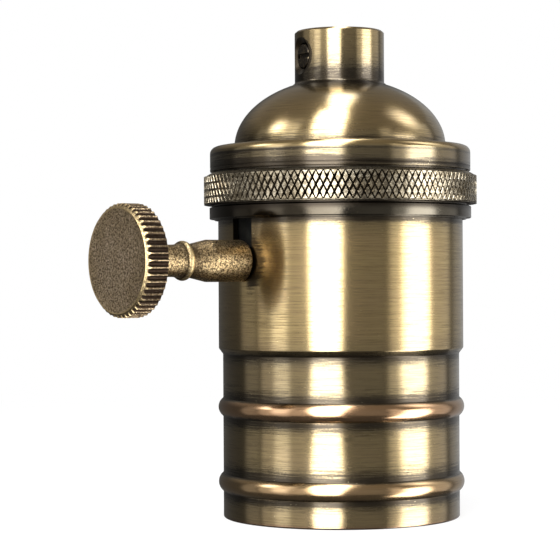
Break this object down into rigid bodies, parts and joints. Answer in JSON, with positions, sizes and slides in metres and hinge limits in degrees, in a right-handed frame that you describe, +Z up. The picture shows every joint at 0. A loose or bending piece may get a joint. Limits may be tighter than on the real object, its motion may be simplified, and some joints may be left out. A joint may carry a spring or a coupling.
{
  "type": "lamp socket",
  "caption": "Metal lamp holder with a domed cap and threaded neck, a knurled union ring, a beaded tubular shell and a turn-knob switch on a side stem.",
  "frame": {"origin": "on the lamp axis at the mouth of the neck, where the holder screws on to its tube", "axes": "+Z up along the lamp axis, out of the neck; the lamp enters from -Z; the knob points along -X"},
  "size_m": [0.0646, 0.0438, 0.078],
  "materials": {
    "antique_brass": "antiqued and brushed",
    "knurled_brass": "antiqued, diamond knurled",
    "cast_brass": "sand cast, dark patina",
    "bright_brass": "plain",
    "nickel": "nickel plated",
    "spring_bronze": "rolled sheet",
    "black_phenolic": "moulded",
    "black_fibre": "pressed fibre",
    "brown_fibre": "moulded fibre"
  },
  "bodies": {
    "cap": {"cap": "antique_brass", "grub_screw": "antique_brass"},
    "holder": {"shell": "antique_brass", "insulating_sleeve": "black_fibre", "socket_body": "black_phenolic", "screw_shell": "bright_brass", "shell_rivet_1": "bright_brass", "shell_rivet_2": "bright_brass", "contact_rivet": "bright_brass", "switch_base": "black_phenolic", "switch_cover": "black_phenolic", "clamp_screw_1": "nickel", "clamp_screw_2": "nickel", "live_terminal": "bright_brass", "neutral_terminal": "nickel", "live_terminal_screw": "bright_brass", "neutral_terminal_screw": "nickel", "switch_spring": "spring_bronze", "detent_spring": "spring_bronze"},
    "ring": {"union_ring": "knurled_brass"},
    "knob": {"knob": "cast_brass", "spindle": "bright_brass", "rotor": "brown_fibre", "rotor_band": "bright_brass"},
    "contact": {"centre_contact": "spring_bronze"}
  },
  "joints": [
    {"name": "holder_drop", "type": "slide", "parent": "cap", "child": "holder", "axis": [0, 0, -1], "range_m": [0, 0.002]},
    {"name": "ring_turn", "type": "hinge", "parent": "holder", "child": "ring", "pos_m": [0, 0, -0.0265], "axis": [0, 0, -1], "range_deg": [0, 720]},
    {"name": "knob_turn", "type": "hinge", "parent": "holder", "child": "knob", "pos_m": [-0.03, 0, -0.03701], "axis": [-1, 0, 0], "continuous": true},
    {"name": "contact_flex", "type": "hinge", "parent": "holder", "child": "contact", "pos_m": [0, -0.0067, -0.05031], "axis": [1, 0, 0], "range_deg": [0, 6], "stiffness_Nm_per_rad": 0.4}
  ],
  "couplings": [
    {"joint": "ring_turn", "follows": "holder_drop", "rad_per_m": 6283.1}
  ]
}
